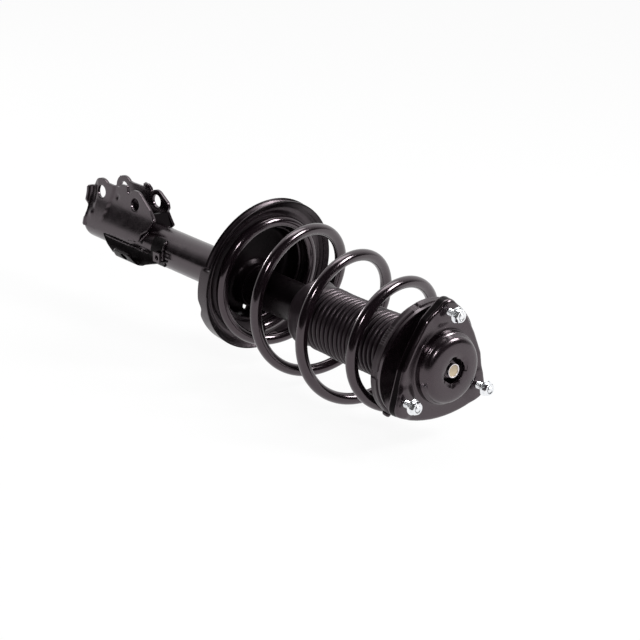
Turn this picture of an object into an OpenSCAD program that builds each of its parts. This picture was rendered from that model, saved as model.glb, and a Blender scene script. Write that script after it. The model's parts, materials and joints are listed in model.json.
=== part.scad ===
// MacPherson strut with its coil spring, dust boot and triangular top mount.
// Sub-parts are drawn upright: z runs up the strut from the upper knuckle bolt,
// x points to the side that carries the knuckle, y to the side of the near plate.
// lay() then turns the strut on its side, with the upper knuckle bolt at the origin.

/* [Strut tube] */
// Outside diameter of the strut tube
tube_d = 46; // [43:0.5:50]
// Wall of the strut tube
tube_wall = 2.5; // [1.8:0.1:3]
// Length of tube from the upper knuckle bolt down to its closed end
tube_below = 101; // [92:1:125]
// Length of tube from the upper knuckle bolt up to its rolled top
tube_above = 316; // [306:1:326]
// Corner radius of the closed end
tube_corner = 12; // [6:1:16]

/* [Knuckle bracket] */
// Clear gap between the two knuckle plates
plate_gap = 28.5; // [24:0.5:32]
// Thickness of the knuckle plates
plate_t = 3.5; // [2.5:0.25:4.5]
// Distance between the two knuckle bolts
bolt_spacing = 64.5; // [58:0.5:72]
// Height of the knuckle bolts off the strut's axis
bolt_up = 43.5; // [41:0.5:48]
// Diameter of the knuckle bolt holes
bolt_hole_d = 14.5; // [12:0.5:16]
// Radius of the ears round the bolt holes
ear_r = 15; // [13:0.5:17]

/* [Link bracket] */
// Thickness of the stabiliser link bracket
link_t = 3; // [2:0.25:4]
// Diameter of the stabiliser link hole
link_hole_d = 10.5; // [8:0.5:12.5]
// Reach of the link bracket from the tube
link_reach = 15; // [12:1:20]

/* [Damper] */
// Diameter of the piston rod
rod_d = 20; // [18:0.5:22]
// Outside diameter of the pressure tube
pressure_d = 34; // [31:0.5:36]
// Wall of the pressure tube
pressure_wall = 1.8; // [1.2:0.1:2.5]
// Free length of the bump stop
bump_l = 50; // [40:1:56]

/* [Spring] */
// Diameter of the spring wire
wire_d = 13.2; // [11:0.1:14]
// Mean radius of the main turns
coil_r = 77.3; // [75:0.1:80]
// Mean radius of the reduced lower end turn
coil_low_r = 66; // [64:0.5:69]
// Mean radius of the reduced upper end turn
coil_top_r = 61; // [59:0.5:63]
// Height of the lower end turn's centre line over the upper knuckle bolt
coil_low_z = 222; // [218:1:228]
// Height of the upper end turn's centre line over the upper knuckle bolt
coil_top_z = 473; // [470:0.5:476]
// Pitch of the main turns
coil_pitch = 77.4; // [74:0.2:79]
// Angle by which the spring's axis leans off the strut's axis
lean = 6.3; // [4:0.1:7]
// Height at which the two axes cross
cross_z = 377; // [365:1:385]

/* [Lower spring seat] */
// Outside radius of the pan's rim
pan_r = 90; // [88:0.5:95]
// Distance of the rim's centre from the spring's axis
rim_shift = 5; // [0:0.5:6]
// Steel thickness of the pan
pan_t = 2.5; // [1.8:0.1:3]
// Depth of the rim's skirt
skirt = 12; // [8:0.5:14]
// Depth of the deeper part of the skirt
deep_skirt = 21; // [16:1:24]

/* [Dust boot] */
// Outside radius of the boot's ribs
boot_r = 36.8; // [35:0.2:38]
// Depth of one rib
rib_depth = 4.5; // [3:0.25:5.5]
// Number of ribs
rib_count = 22; // [16:1:24]
// Wall of the boot
boot_wall = 1.6; // [1.2:0.1:2]

/* [Top mount] */
// Diameter of the circle through the three tower studs
stud_circle = 122.8; // [116:0.5:128]
// Radius of the plate's rounded corners
corner_r = 13.5; // [12:0.5:16]
// Distance from the strut's axis to the plate's bulging side
base_out = 59.5; // [56:0.5:62]
// Steel thickness of the mount
mount_t = 2.8; // [2:0.1:3.5]
// Outside radius of the cup
cup_r = 37.7; // [36:0.2:40]
// Height of the cup over the plate
cup_h = 16; // [14:0.5:20]
// Depth of the lip round the plate
lip = 9; // [6:0.5:10]
// Diameter of the tower studs
stud_d = 8; // [6:0.5:10]
// Length of the tower studs over the plate
stud_l = 21; // [18:0.5:26]

/* [Hidden] */

$fn = 96;
eps = 0.01;
// running clearance between pieces that slide or turn
run = 0.05;
// clearance between pieces that touch on one body
touch = 0.05;
// clearance between pieces of different bodies
apart = 0.3;

tube_r = tube_d / 2;
tube_bore = tube_r - tube_wall;
rod_r = rod_d / 2;
pressure_r = pressure_d / 2;
pressure_bore = pressure_r - pressure_wall;
wire_r = wire_d / 2;

// height over the upper bolt of the leaning plane w, at x off the strut's axis
function level(w, x) = cross_z + (w - cross_z) / cos(lean) + x * tan(lean);
// offset of the strut's axis from the spring's, in the leaning plane w
function shift(w) = (w - cross_z) * tan(lean);

// the upper seat's faces, as leaning planes
insulator_t = 9;
bed = 3;
seat_t = 2.5;
insulator_r = coil_top_r + wire_r + 1.4;
insulator_z = coil_top_z + wire_r - bed;
seat_z = insulator_z + insulator_t;
seat_top = seat_z + seat_t;
hub_r = 30;

// heights of the top mount, from the upper seat up
turning_gap = 7.2;
plate_z = level(seat_top, insulator_r) + turning_gap + lip;
cup_top = plate_z + mount_t + cup_h;
rod_top = cup_top - 1;
shoulder_z = level(seat_z, -hub_r) - 0.5;
bump_z = shoulder_z - bump_l;

// damper heights
cap_top = tube_above + 3;
guide_t = 16;
seal_t = 7;
guide_z = tube_above - seal_t - guide_t;
base_z = -tube_below + tube_wall + 1;
base_t = 9;
piston_t = 16;
rebound_t = 8;
piston_z = guide_z - 60;
rod_low = piston_z - 22;

// turns the upright strut on its side
module lay() {
    translate([0, 0, -bolt_up])
        rotate([0, 90, 0])
            rotate([0, 0, 180])
                children();
}

// sets a piece of the spring and its seats on the spring's leaning axis
module leaning() {
    translate([0, 0, cross_z])
        rotate([0, -lean, 0])
            translate([0, 0, -cross_z])
                children();
}

// ring of rectangular section
module ring(r_in, r_out, z, h) {
    translate([0, 0, z])
        difference() {
            cylinder(r = r_out, h = h);
            translate([0, 0, -1])
                cylinder(r = r_in, h = h + 2);
        }
}

// draws a side outline given as (height, out), extruded towards the near side
module side_on() {
    rotate([-90, -90, 0])
        children();
}

// points of an arc about c, from one angle to the other
function arc(c, r, from, to, n) = [for (i = [0:n]) let (a = from + (to - from) * i / n)
    c + r * [cos(a), sin(a)]];
function smooth(t) = t <= 0 ? 0 : t >= 1 ? 1 : t * t * (3 - 2 * t);

// ---- strut tube ----

// solid of a round tube with one closed end and a rounded corner
module blind_bar(r, low, high, corner) {
    rotate_extrude()
        union() {
            translate([0, low + corner])
                square([r, high - low - corner]);
            translate([0, low])
                square([r - corner, corner + eps]);
            intersection() {
                translate([r - corner, low + corner])
                    circle(r = corner);
                translate([0, low])
                    square([r, corner]);
            }
        }
}

module strut_tube() {
    color("#1d1a1d")
        difference() {
            blind_bar(tube_r, -tube_below, tube_above, tube_corner);
            blind_bar(tube_bore, -tube_below + tube_wall, tube_above + 1, tube_corner - tube_wall);
        }
}

// ---- knuckle bracket ----

plate_in = plate_gap / 2;
plate_out = plate_in + plate_t;
skin_in = tube_r + touch;
skin_out = tube_r + touch + plate_t;
// how far the plates reach past each bolt, and round the tube
foot_low = -bolt_spacing - 28;
foot_high = 38;
edge_low = 1;

// outer face of a plate at height x: against the tube, then drawn in to the flat cheek
swell_low = 6;
swell_high = 34;
function face_at(x) = plate_out + (skin_out - plate_out)
    * smooth((swell_high - x) / (swell_high - swell_low));
face_x = [edge_low, for (i = [0:8]) swell_low + (swell_high - swell_low) * i / 8];

// section across a knuckle plate, grown outwards by g
module plate_section(g = 0) {
    polygon(concat([for (x = face_x) [x, face_at(x) + g]],
        [[bolt_up + ear_r + 4, plate_out + g], [bolt_up + ear_r + 4, plate_in]],
        [for (i = [len(face_x) - 1:-1:0]) [face_x[i], face_at(face_x[i]) - plate_t]]));
}

// side outline of the near plate
module near_outline() {
    ears();
    polygon([[foot_low, 0], [foot_low, bolt_up + 1], [-bolt_spacing - 14, bolt_up + 8],
        [-bolt_spacing + 14, bolt_up + 12], [-15, bolt_up + 13.5], [2, bolt_up + 17],
        [12, bolt_up + 14.5], [foot_high - 7, bolt_up - 2], [foot_high, tube_r + 11],
        [foot_high - 8, tube_r - 4], [foot_high - 17, tube_r - 10], [foot_high - 17, 5], [-4, 0]]);
}

// side outline of the far plate, with an upright tab on its edge
module far_outline() {
    polygon([[foot_low + 10, 0], [foot_low + 11, bolt_up + 5], [-bolt_spacing - 8, bolt_up + 11],
        [-bolt_spacing + 12, bolt_up + 10], [-32, bolt_up + 11], [-31, bolt_up + 16],
        [-18, bolt_up + 16], [-17, bolt_up + 11], [4, bolt_up + 12], [20, bolt_up],
        [24, bolt_up - 6], [23, tube_r - 3], [foot_high - 11, tube_r - 7], [12, tube_r - 12],
        [8, 0]]);
}

// round ends of the ears
module ears() {
    for (z = [0, -bolt_spacing])
        translate([z, bolt_up])
            circle(r = ear_r);
}

module plate_blank() {
    translate([0, 0, foot_low - 1])
        linear_extrude(foot_high - foot_low + 2)
            plate_section();
}

// flange that turns outwards along the near plate's lower end
module end_flange() {
    translate([0, 0, foot_low])
        intersection() {
            linear_extrude(plate_t)
                plate_section(7);
            translate([edge_low, 0, 0])
                cube([bolt_up, 2 * skin_out, plate_t]);
        }
}

module bolt_holes() {
    for (z = [0, -bolt_spacing])
        translate([bolt_up, 0, z])
            rotate([90, 0, 0])
                cylinder(d = bolt_hole_d, h = 4 * tube_r, center = true);
}

module near_knuckle_plate() {
    color("#221e21")
        difference() {
            union() {
                intersection() {
                    plate_blank();
                    side_on()
                        linear_extrude(2 * skin_out)
                            near_outline();
                }
                end_flange();
            }
            bolt_holes();
        }
}

module far_knuckle_plate() {
    color("#1f1b1e")
        difference() {
            union() {
                intersection() {
                    mirror([0, 1, 0])
                        plate_blank();
                    translate([0, -2 * skin_out, 0])
                        side_on()
                            linear_extrude(2 * skin_out)
                                far_outline();
                }
                translate([0, -plate_out, 0])
                    side_on()
                        linear_extrude(plate_t)
                            ears();
            }
            bolt_holes();
        }
}

// web that joins the plates across the tube, above the upper bolt
module knuckle_web() {
    web_top = tube_r + 13;
    color("#1f1b1e")
        translate([0, 0, foot_high - 18])
            difference() {
                linear_extrude(plate_t)
                    polygon(concat([for (x = face_x) [x, face_at(x) - plate_t - touch]],
                        [[web_top, plate_in - touch], [web_top, touch - plate_in]],
                        [for (i = [len(face_x) - 1:-1:0])
                            [face_x[i], plate_t + touch - face_at(face_x[i])]]));
                translate([0, 0, -1])
                    cylinder(r = skin_in, h = plate_t + 2);
            }
}

// ---- brackets on the tube ----

// direction of the link bracket round the tube
link_turn = 128;

// outline of the link bracket's web as (height, out)
module link_outline() {
    polygon([[-52, tube_r - 2], [-22, tube_r + link_reach], [34, tube_r + link_reach],
        [72, tube_r - 2]]);
}

module link_bracket() {
    flange_w = 20;
    flange_z = -14;
    flange_l = 40;
    color("#161316")
        rotate([0, 0, link_turn])
            difference() {
                union() {
                    translate([0, -link_t / 2, 0])
                        side_on()
                            linear_extrude(link_t)
                                link_outline();
                    translate([tube_r + link_reach - link_t, -flange_w + link_t / 2, flange_z])
                        cube([link_t, flange_w, flange_l]);
                }
                translate([0, 0, -tube_below])
                    cylinder(r = skin_in, h = 2 * tube_below);
                translate([tube_r, -flange_w / 2 + link_t / 2, flange_z + flange_l / 2])
                    rotate([0, 90, 0])
                        cylinder(d = link_hole_d, h = 2 * link_reach);
            }
}

module hose_tab() {
    tab_z = 56;
    tab_w = 12;
    color("#161316")
        rotate([0, 0, 95])
            difference() {
                union() {
                    translate([0, -tab_w / 2, tab_z])
                        cube([tube_r + 9, tab_w, link_t - 0.5]);
                    translate([tube_r + 6.5, -tab_w / 2, tab_z])
                        cube([2.5, tab_w, 12]);
                }
                translate([0, 0, tab_z - 1])
                    cylinder(r = skin_in, h = 20);
                translate([0, 0, tab_z + 7])
                    rotate([0, 90, 0])
                        cylinder(d = 6.5, h = 2 * tube_r);
            }
}

// ---- lower spring seat ----

pad_t = 2;
pan_z = coil_low_z - wire_r - pad_t;
rim_z = pan_z + 9;
dish_z = pan_z - 16;
bed_in = coil_low_r - wire_r - 2;
bed_out = coil_low_r + wire_r + 5;

// profile of the pan from the dish out to the spring's bed, over its top and back under it
bed_profile = [[coil_low_r - wire_r - 14, dish_z], [bed_in - 7, dish_z + 1.5],
    [bed_in - 4.5, dish_z + 5], [bed_in - 3, pan_z + 1], [bed_in - 1.5, pan_z + 2.4],
    [bed_in, pan_z + 1.5], [bed_in + 2, pan_z], [bed_out + 4, pan_z],
    [bed_out + 4, pan_z - pan_t], [bed_in + 1.5, pan_z - pan_t], [bed_in - 2, dish_z + 3],
    [bed_in - 5.5, dish_z - 1.5], [coil_low_r - wire_r - 14, dish_z - pan_t]];

// profile of the pan from the spring's bed out over the rim, and back inside it
rim_profile = [[bed_out - rim_shift - 6, pan_z], [bed_out + 2, pan_z], [pan_r - 7, pan_z + 2],
    [pan_r - 5, rim_z - 2], [pan_r - 3.5, rim_z - 0.5], [pan_r - 2, rim_z], [pan_r - 0.6, rim_z - 0.8],
    [pan_r, rim_z - 3], [pan_r, rim_z - skirt], [pan_r - pan_t, rim_z - skirt],
    [pan_r - pan_t, rim_z - 3.2], [pan_r - 3.4, rim_z - 2.7], [pan_r - 4.3, pan_z + 0.5],
    [pan_r - 5.5, pan_z - 2], [bed_out + 2, pan_z - pan_t], [bed_out - rim_shift - 6, pan_z - pan_t]];

module lower_spring_seat() {
    neck_h = 26;
    drain_d = 7;
    color("#1b181b")
        difference() {
            union() {
                leaning() {
                    rotate_extrude()
                        polygon(bed_profile);
                    translate([0, -rim_shift, 0]) {
                        rotate_extrude()
                            polygon(rim_profile);
                        deep_rim();
                    }
                    translate([0, 0, dish_z - pan_t])
                        cylinder(r = coil_low_r - wire_r - 13, h = pan_t);
                }
                translate([0, 0, level(dish_z, 0) - pan_t - 5])
                    cylinder(r = skin_in + pan_t, h = neck_h);
            }
            translate([0, 0, dish_z - 60])
                cylinder(r = skin_in, h = 140);
            // drain hole beside the neck
            leaning()
                rotate([0, 0, 118])
                    translate([bed_in - 16, 0, dish_z - 10])
                        cylinder(d = drain_d, h = 20);
        }
}

// part of the rim whose skirt reaches further down
module deep_rim() {
    from = 74;
    to = 137;
    rotate([0, 0, from])
        rotate_extrude(angle = to - from)
            translate([pan_r - pan_t + 1, rim_z - deep_skirt])
                square([pan_t + 1, deep_skirt - 6]);
}

module lower_spring_pad() {
    color("#262326")
        leaning()
            ring(coil_low_r - 5, coil_low_r + 5, pan_z + touch, pad_t - 2 * touch);
}

// ---- damper ----

module pressure_tube() {
    color("#8d8d92")
        ring(pressure_bore, pressure_r, base_z + base_t, guide_z - base_z - base_t);
}

module base_valve() {
    foot_r = tube_bore - tube_corner + tube_wall;
    color("#a3a096")
        difference() {
            union() {
                translate([0, 0, base_z])
                    cylinder(r = foot_r, h = base_t - 4);
                translate([0, 0, base_z + base_t - 4])
                    cylinder(r = pressure_r, h = 4);
                translate([0, 0, base_z + base_t])
                    cylinder(r = pressure_bore - run, h = 5);
            }
            for (a = [0:60:300])
                rotate([0, 0, a])
                    translate([9, 0, base_z - 1])
                        cylinder(d = 3, h = base_t + 7);
        }
}

module rod_guide() {
    bush_r = rod_r + 2;
    color("#8f8b84")
        difference() {
            union() {
                translate([0, 0, guide_z])
                    cylinder(r = tube_bore - touch, h = guide_t);
                translate([0, 0, guide_z - 6])
                    cylinder(r = pressure_bore - run, h = 6);
            }
            translate([0, 0, guide_z - 7])
                cylinder(r = bush_r + touch, h = guide_t + 8);
        }
}

module rod_bush() {
    color("#b08d57")
        ring(rod_r + run, rod_r + 2, guide_z - 6, guide_t + 6);
}

module oil_seal() {
    color("#2b2a2c")
        ring(rod_r + run, tube_bore - touch, guide_z + guide_t + touch, seal_t - 2 * touch);
}

// rolled top of the tube, seen through the boot
module tube_cap() {
    color("#1d1a1d")
        union() {
            ring(rod_r + 1, tube_r, tube_above, cap_top - tube_above);
        }
}

module piston_rod() {
    thread_d = 14;
    color("#c9c9cc")
        rotate_extrude()
            polygon([[0, rod_low], [6, rod_low], [6, piston_z + piston_t],
                [rod_r, piston_z + piston_t], [rod_r, shoulder_z], [thread_d / 2, shoulder_z],
                [thread_d / 2, rod_top - 1], [thread_d / 2 - 1, rod_top], [0, rod_top]]);
}

module piston() {
    color("#77746e")
        difference() {
            translate([0, 0, piston_z])
                cylinder(r = pressure_bore - 1.2, h = piston_t - touch);
            translate([0, 0, piston_z - 1])
                cylinder(r = 6 + run, h = piston_t + 2);
            for (a = [0:45:315])
                rotate([0, 0, a])
                    translate([9.2, 0, piston_z - 1])
                        cylinder(d = 2.4, h = piston_t + 2);
        }
}

module piston_band() {
    color("#303033")
        ring(pressure_bore - 1.15, pressure_bore - run, piston_z + 3, piston_t - 6);
}

module piston_nut() {
    color("#9a9a9e")
        difference() {
            translate([0, 0, piston_z - 9])
                cylinder(d = 20, h = 9 - touch, $fn = 6);
            translate([0, 0, piston_z - 10])
                cylinder(r = 6 + run, h = 11);
        }
}

module rebound_stop() {
    color("#2b2a2c")
        ring(rod_r + run, pressure_bore - 1.5, guide_z - 6 - rebound_t - 1, rebound_t);
}

module bump_stop() {
    waist = 4;
    color("#d8c86a")
        rotate_extrude()
            polygon([[rod_r + touch, bump_z], [rod_r + 6, bump_z], [rod_r + 9, bump_z + 5],
                [rod_r + 9, bump_z + 13], [rod_r + 9 - waist, bump_z + 18],
                [rod_r + 12, bump_z + 24], [rod_r + 12, bump_z + 30],
                [rod_r + 12 - waist, bump_z + 34], [rod_r + 14, bump_z + 39],
                [rod_r + 14, shoulder_z - touch], [rod_r + touch, shoulder_z - touch]]);
}

// ---- dust boot ----

boot_low = tube_above - 10;
collar_l = 24;
boot_top = shoulder_z - touch;
rib_pitch = (boot_top - boot_low - collar_l) / rib_count;
// the boot hangs a little below the rod
boot_sag = 2.5;

// outer face of the boot: a flared collar, then the ribs
boot_face = concat(
    [[boot_r + 1, boot_low], [boot_r + 1.6, boot_low + 3], [boot_r - 0.4, boot_low + 14],
        [boot_r - rib_depth, boot_low + collar_l - 3]],
    [for (i = [0:rib_count - 1], k = [0:3])
        [k == 1 || k == 2 ? boot_r : boot_r - rib_depth,
            boot_low + collar_l + rib_pitch * (i + [0.05, 0.38, 0.62, 0.95][k])]],
    [[boot_r - rib_depth, boot_top]]);

// the boot's top collar bears on the hub of the upper spring seat
module dust_boot() {
    collar_in = hub_r - 3;
    color("#1a191b")
        translate([-boot_sag, 0, 0])
            union() {
                rotate_extrude()
                    polygon(concat(boot_face,
                        [for (i = [len(boot_face) - 1:-1:0])
                            [boot_face[i][0] - boot_wall, boot_face[i][1]]]));
                ring(collar_in, boot_r - rib_depth, boot_top - 2.5, 2.5);
            }
}

// ---- coil spring ----

// turns run from the lower tip to the upper tip, counted from the main turns' start
turn_low = -1.18;
turn_top = 3.15;
turn_rings = 24;
wire_sides = 8;
// direction of the turns' start round the strut
turn_start = 249.6;
main_start = coil_low_z + 32.8;
// turns over which the wire runs in from one radius to the next
low_blend = [-0.65, 0.2];
top_blend = [2.42, 2.84];
// height over which the pitch runs out at each end
low_run = 8;
top_run = 5;

// main turns, and the flat end turns that they run into
function over(v, w) = v > 12 * w ? v : w * ln(1 + exp(v / w));
function blend(n, span) = smooth((n - span[0]) / (span[1] - span[0]));
function main_z(n) = coil_low_z + over(main_start + coil_pitch * n - coil_low_z, low_run);
function wire_z(n) = coil_top_z - over(coil_top_z - main_z(n), top_run);
function wire_turn_r(n) = coil_low_r + (coil_r - coil_low_r) * blend(n, low_blend)
    - (coil_r - coil_top_r) * blend(n, top_blend);
function wire_at(n) = let (a = turn_start + 360 * n, r = wire_turn_r(n))
    [r * cos(a) + shift(coil_top_z) * blend(n, top_blend), r * sin(a), wire_z(n)];

wire_steps = round((turn_top - turn_low) * turn_rings);
wire_path = [for (i = [0:wire_steps]) wire_at(turn_low + (turn_top - turn_low) * i / wire_steps)];

function unit(v) = v / norm(v);
function along(p, i) = unit(p[min(i + 1, len(p) - 1)] - p[max(i - 1, 0)]);

// one ring of points square to the wire
function wire_ring(p, i) = let (t = along(p, i), u = unit(cross([0, 0, 1], t)), v = cross(t, u))
    [for (k = [0:wire_sides - 1]) let (a = 360 * (k + 0.5) / wire_sides)
        p[i] + wire_r * (cos(a) * u + sin(a) * v)];

// triangulated tube swept along the points p
module swept_tube(p) {
    last = len(p) - 1;
    points = [for (i = [0:last]) each wire_ring(p, i)];
    sides = [for (i = [0:last - 1], k = [0:wire_sides - 1])
        let (a = i * wire_sides + k, b = i * wire_sides + (k + 1) % wire_sides)
            each [[a, a + wire_sides, b + wire_sides], [a, b + wire_sides, b]]];
    low_end = [for (k = [1:wire_sides - 2]) [0, k, k + 1]];
    high_end = [for (k = [1:wire_sides - 2])
        [last * wire_sides, last * wire_sides + k + 1, last * wire_sides + k]];
    polyhedron(points = points, faces = concat(sides, low_end, high_end));
}

// least gap between points of the wire that are more than half a turn apart
least_gap = min([for (i = [0:2:wire_steps], j = [i + turn_rings / 2:2:wire_steps])
    norm(wire_path[i] - wire_path[j])]) - wire_d;
echo(coil_spring_least_gap_to_itself_mm = least_gap);

module coil_spring() {
    color("#151316")
        leaning()
            swept_tube(wire_path);
}

// ---- upper spring seat and insulator ----

// rubber ring with a round bed for the wire and a wall outside it
module upper_insulator() {
    groove_r = wire_r + apart;
    color("#4a484c")
        leaning()
            translate([shift(coil_top_z), 0, 0])
                rotate_extrude()
                    difference() {
                        translate([coil_top_r - wire_r - 6, insulator_z])
                            square([wire_r + 6 + insulator_r - coil_top_r, insulator_t - touch]);
                        translate([coil_top_r, coil_top_z])
                            circle(r = groove_r);
                    }
}

module upper_spring_seat() {
    flange_r = insulator_r - 2;
    color("#171518")
        difference() {
            union() {
                leaning()
                    translate([shift(coil_top_z), 0, 0]) {
                        translate([0, 0, seat_z])
                            cylinder(r = flange_r, h = seat_t);
                        ring(flange_r - seat_t, flange_r, seat_z, seat_t + 2);
                    }
                intersection() {
                    translate([0, 0, shoulder_z])
                        cylinder(r = hub_r, h = 40);
                    leaning()
                        translate([shift(coil_top_z), 0, 0])
                            cylinder(r = flange_r, h = seat_top);
                }
            }
            translate([0, 0, shoulder_z + seat_t])
                cylinder(r = hub_r - seat_t, h = 40);
            translate([0, 0, shoulder_z - 1])
                cylinder(r = race_in, h = 40);
        }
}

// ---- strut bearing ----

race_z = shoulder_z + seat_t + touch;
race_h = 14;
race_in = 7 + touch;
race_mid = 15;
ball_r = 3.2;
housing_r = 25;

// ring with a groove for the balls, standing the given lift off its seat
module race(r_in, r_out, lift) {
    difference() {
        ring(r_in, r_out, race_z + lift, race_h - lift);
        rotate_extrude()
            translate([race_mid, race_z + race_h / 2])
                circle(r = ball_r + apart, $fn = 48);
    }
}

module bearing_inner_race() {
    color("#b5b5ba")
        race(race_in, race_mid - 1.5, 0);
}

module bearing_balls() {
    color("#c8c8cc")
        for (a = [0:36:324])
            rotate([0, 0, a])
                translate([race_mid, 0, race_z + race_h / 2])
                    sphere(r = ball_r, $fn = 32);
}

module bearing_outer_race() {
    color("#b5b5ba")
        race(race_mid + 1.5, housing_r - 3, 0.5);
}

housing_top = race_z + race_h + 3;

// cup round the outer race, with a lip over its top
module bearing_housing() {
    race_r = housing_r - 3 + touch;
    color("#3a393c")
        union() {
            ring(race_r, housing_r, race_z + 2, housing_top - race_z - 2);
            ring(race_mid + 1.5, race_r + eps, race_z + race_h + touch, 3 - touch);
        }
}

// sleeve and flange between the bearing and the nut
module rod_washer() {
    color("#9b9ba0")
        union() {
            ring(race_in, race_mid - 3, race_z + race_h + touch, nut_z - race_z - race_h - 2 * touch);
            ring(race_in, race_mid - 1.5, nut_z - 3, 3 - touch);
        }
}

nut_h = 12;
nut_z = rod_top - 5 - nut_h;

module rod_nut() {
    color("#2c2a2d")
        difference() {
            union() {
                translate([0, 0, nut_z])
                    cylinder(d = 24, h = nut_h - 3, $fn = 6);
                translate([0, 0, nut_z + nut_h - 3])
                    cylinder(d = 18, h = 3);
            }
            translate([0, 0, nut_z - 1])
                cylinder(r = race_in, h = 20);
        }
}

// ---- top mount ----

stud_at = [for (a = [0, 120, 240]) stud_circle / 2 * [cos(a), sin(a)]];
step_r = cup_r + 9;
shoulder_d = stud_d + 1.2;

// one half of the plate's outline: rounded corner at the first stud, two blunt corners
// down the side, and a rounded corner by the second stud
side_high = [stud_circle / 2 - 6.5, corner_r + 15.5];
side_low = [5, stud_circle / 2 - 4.5];
foot_at = [-stud_circle / 4 - 5.5, stud_circle * 0.433];
half_outline = concat(arc([stud_circle / 2, 0], corner_r, 0, 52, 7), [side_high, side_low],
    arc(foot_at, corner_r - 1.5, 76, 150, 7));
// the third side bulges gently
base_r = 150;
base_arc = arc([base_r - base_out, 0], base_r, 164, 180, 3);
side_points = concat(half_outline, base_arc);
rim_points = concat(side_points, [for (i = [len(side_points) - 2:-1:1]) [side_points[i][0], -side_points[i][1]]]);

// outline of the plate, grown by g
module mount_outline(g) {
    polygon([for (p = rim_points) p * (1 + g * 1.05 / norm(p))]);
}

module mount_plate() {
    color("#1c191c")
        difference() {
            union() {
                translate([0, 0, plate_z - lip])
                    linear_extrude(lip + mount_t)
                        mount_outline(0);
                // pressed step round the cup
                translate([0, 0, plate_z + 1])
                    cylinder(r = step_r, h = mount_t);
                translate([0, 0, plate_z + 1 + mount_t])
                    cylinder(r1 = step_r, r2 = step_r - 2, h = 2);
                stud_bosses();
            }
            translate([0, 0, plate_z - lip - 1])
                linear_extrude(lip + 1)
                    mount_outline(-mount_t);
            translate([0, 0, plate_z - 1])
                cylinder(r = cup_r + touch, h = 20);
            for (p = stud_at)
                translate([p[0], p[1], plate_z - 1])
                    cylinder(d = shoulder_d + 2 * touch, h = 20);
        }
}

// low round bosses under the studs' nuts
module stud_bosses() {
    for (p = stud_at)
        translate([p[0], p[1], plate_z + 1])
            cylinder(r = 9, h = mount_t);
}

module mount_cup() {
    mouth_r = 14;
    round_r = 6;
    color("#1c191c")
        rotate_extrude()
            difference() {
                cup_section(cup_r, cup_top, round_r);
                translate([0, -mount_t])
                    cup_section(cup_r - mount_t, cup_top, round_r - mount_t);
                translate([0, plate_z - 40])
                    square([mouth_r, 100]);
            }
}

// half section of a round topped cup of radius r, from the plate's back up to z
module cup_section(r, z, round_r) {
    union() {
        translate([0, plate_z])
            square([r, z - round_r - plate_z]);
        translate([0, z - round_r - eps])
            square([r - round_r, round_r + eps]);
        intersection() {
            translate([r - round_r, z - round_r])
                circle(r = round_r);
            translate([r - round_r, z - round_r - eps])
                square(round_r + 1);
        }
    }
}

module mount_rubber() {
    rubber_r = cup_r - mount_t - touch;
    rubber_z = level(seat_top, rubber_r) + 1.5;
    rubber_top = cup_top - mount_t - touch;
    color("#2a282b")
        rotate_extrude()
            polygon([[housing_r + touch, rubber_z], [housing_r + touch, housing_top + touch],
                [race_mid + 1.5, housing_top + touch], [race_mid + 3, rubber_top],
                [rubber_r - 5, rubber_top], [rubber_r, cup_top - 7], [rubber_r, plate_z],
                [rubber_r - 5, rubber_z]]);
}

module tower_studs() {
    neck_d = stud_d - 1.2;
    head_t = 3;
    color("#d5d5d8")
        for (p = stud_at)
            translate([p[0], p[1], 0]) {
                translate([0, 0, plate_z - head_t])
                    cylinder(d = stud_d + 6, h = head_t - touch);
                // shoulder that fills the hole in the plate and its boss
                translate([0, 0, plate_z - head_t])
                    cylinder(d = shoulder_d, h = head_t + mount_t + 1.3);
                translate([0, 0, plate_z])
                    cylinder(d = stud_d, h = mount_t + stud_l - 11.5);
                translate([0, 0, plate_z + mount_t + stud_l - 12])
                    cylinder(d = neck_d, h = 12);
            }
}

module stud_nuts() {
    nut_z = plate_z + mount_t + stud_l - 8.5;
    color("#dcdcdf")
        for (p = stud_at)
            translate([p[0], p[1], nut_z])
                difference() {
                    union() {
                        cylinder(d = 17, h = 1.6);
                        translate([0, 0, 1.5])
                            cylinder(d = 14, h = 6.5, $fn = 6);
                    }
                    translate([0, 0, -1])
                        cylinder(d = stud_d - 1.2 + 2 * run, h = 20);
                }
}

lay() strut_tube();
lay() near_knuckle_plate();
lay() far_knuckle_plate();
lay() knuckle_web();
lay() link_bracket();
lay() hose_tab();
lay() lower_spring_seat();
lay() lower_spring_pad();
lay() pressure_tube();
lay() base_valve();
lay() rod_guide();
lay() rod_bush();
lay() oil_seal();
lay() tube_cap();
lay() piston_rod();
lay() piston();
lay() piston_band();
lay() piston_nut();
lay() rebound_stop();
lay() bump_stop();
lay() dust_boot();
lay() coil_spring();
lay() upper_insulator();
lay() upper_spring_seat();
lay() bearing_inner_race();
lay() bearing_balls();
lay() rod_washer();
lay() rod_nut();
lay() bearing_outer_race();
lay() bearing_housing();
lay() mount_rubber();
lay() mount_plate();
lay() mount_cup();
lay() tower_studs();
lay() stud_nuts();
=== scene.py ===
import json
import math

import bmesh
import bpy
from mathutils import Matrix, Vector
from mathutils.geometry import delaunay_2d_cdt


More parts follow.
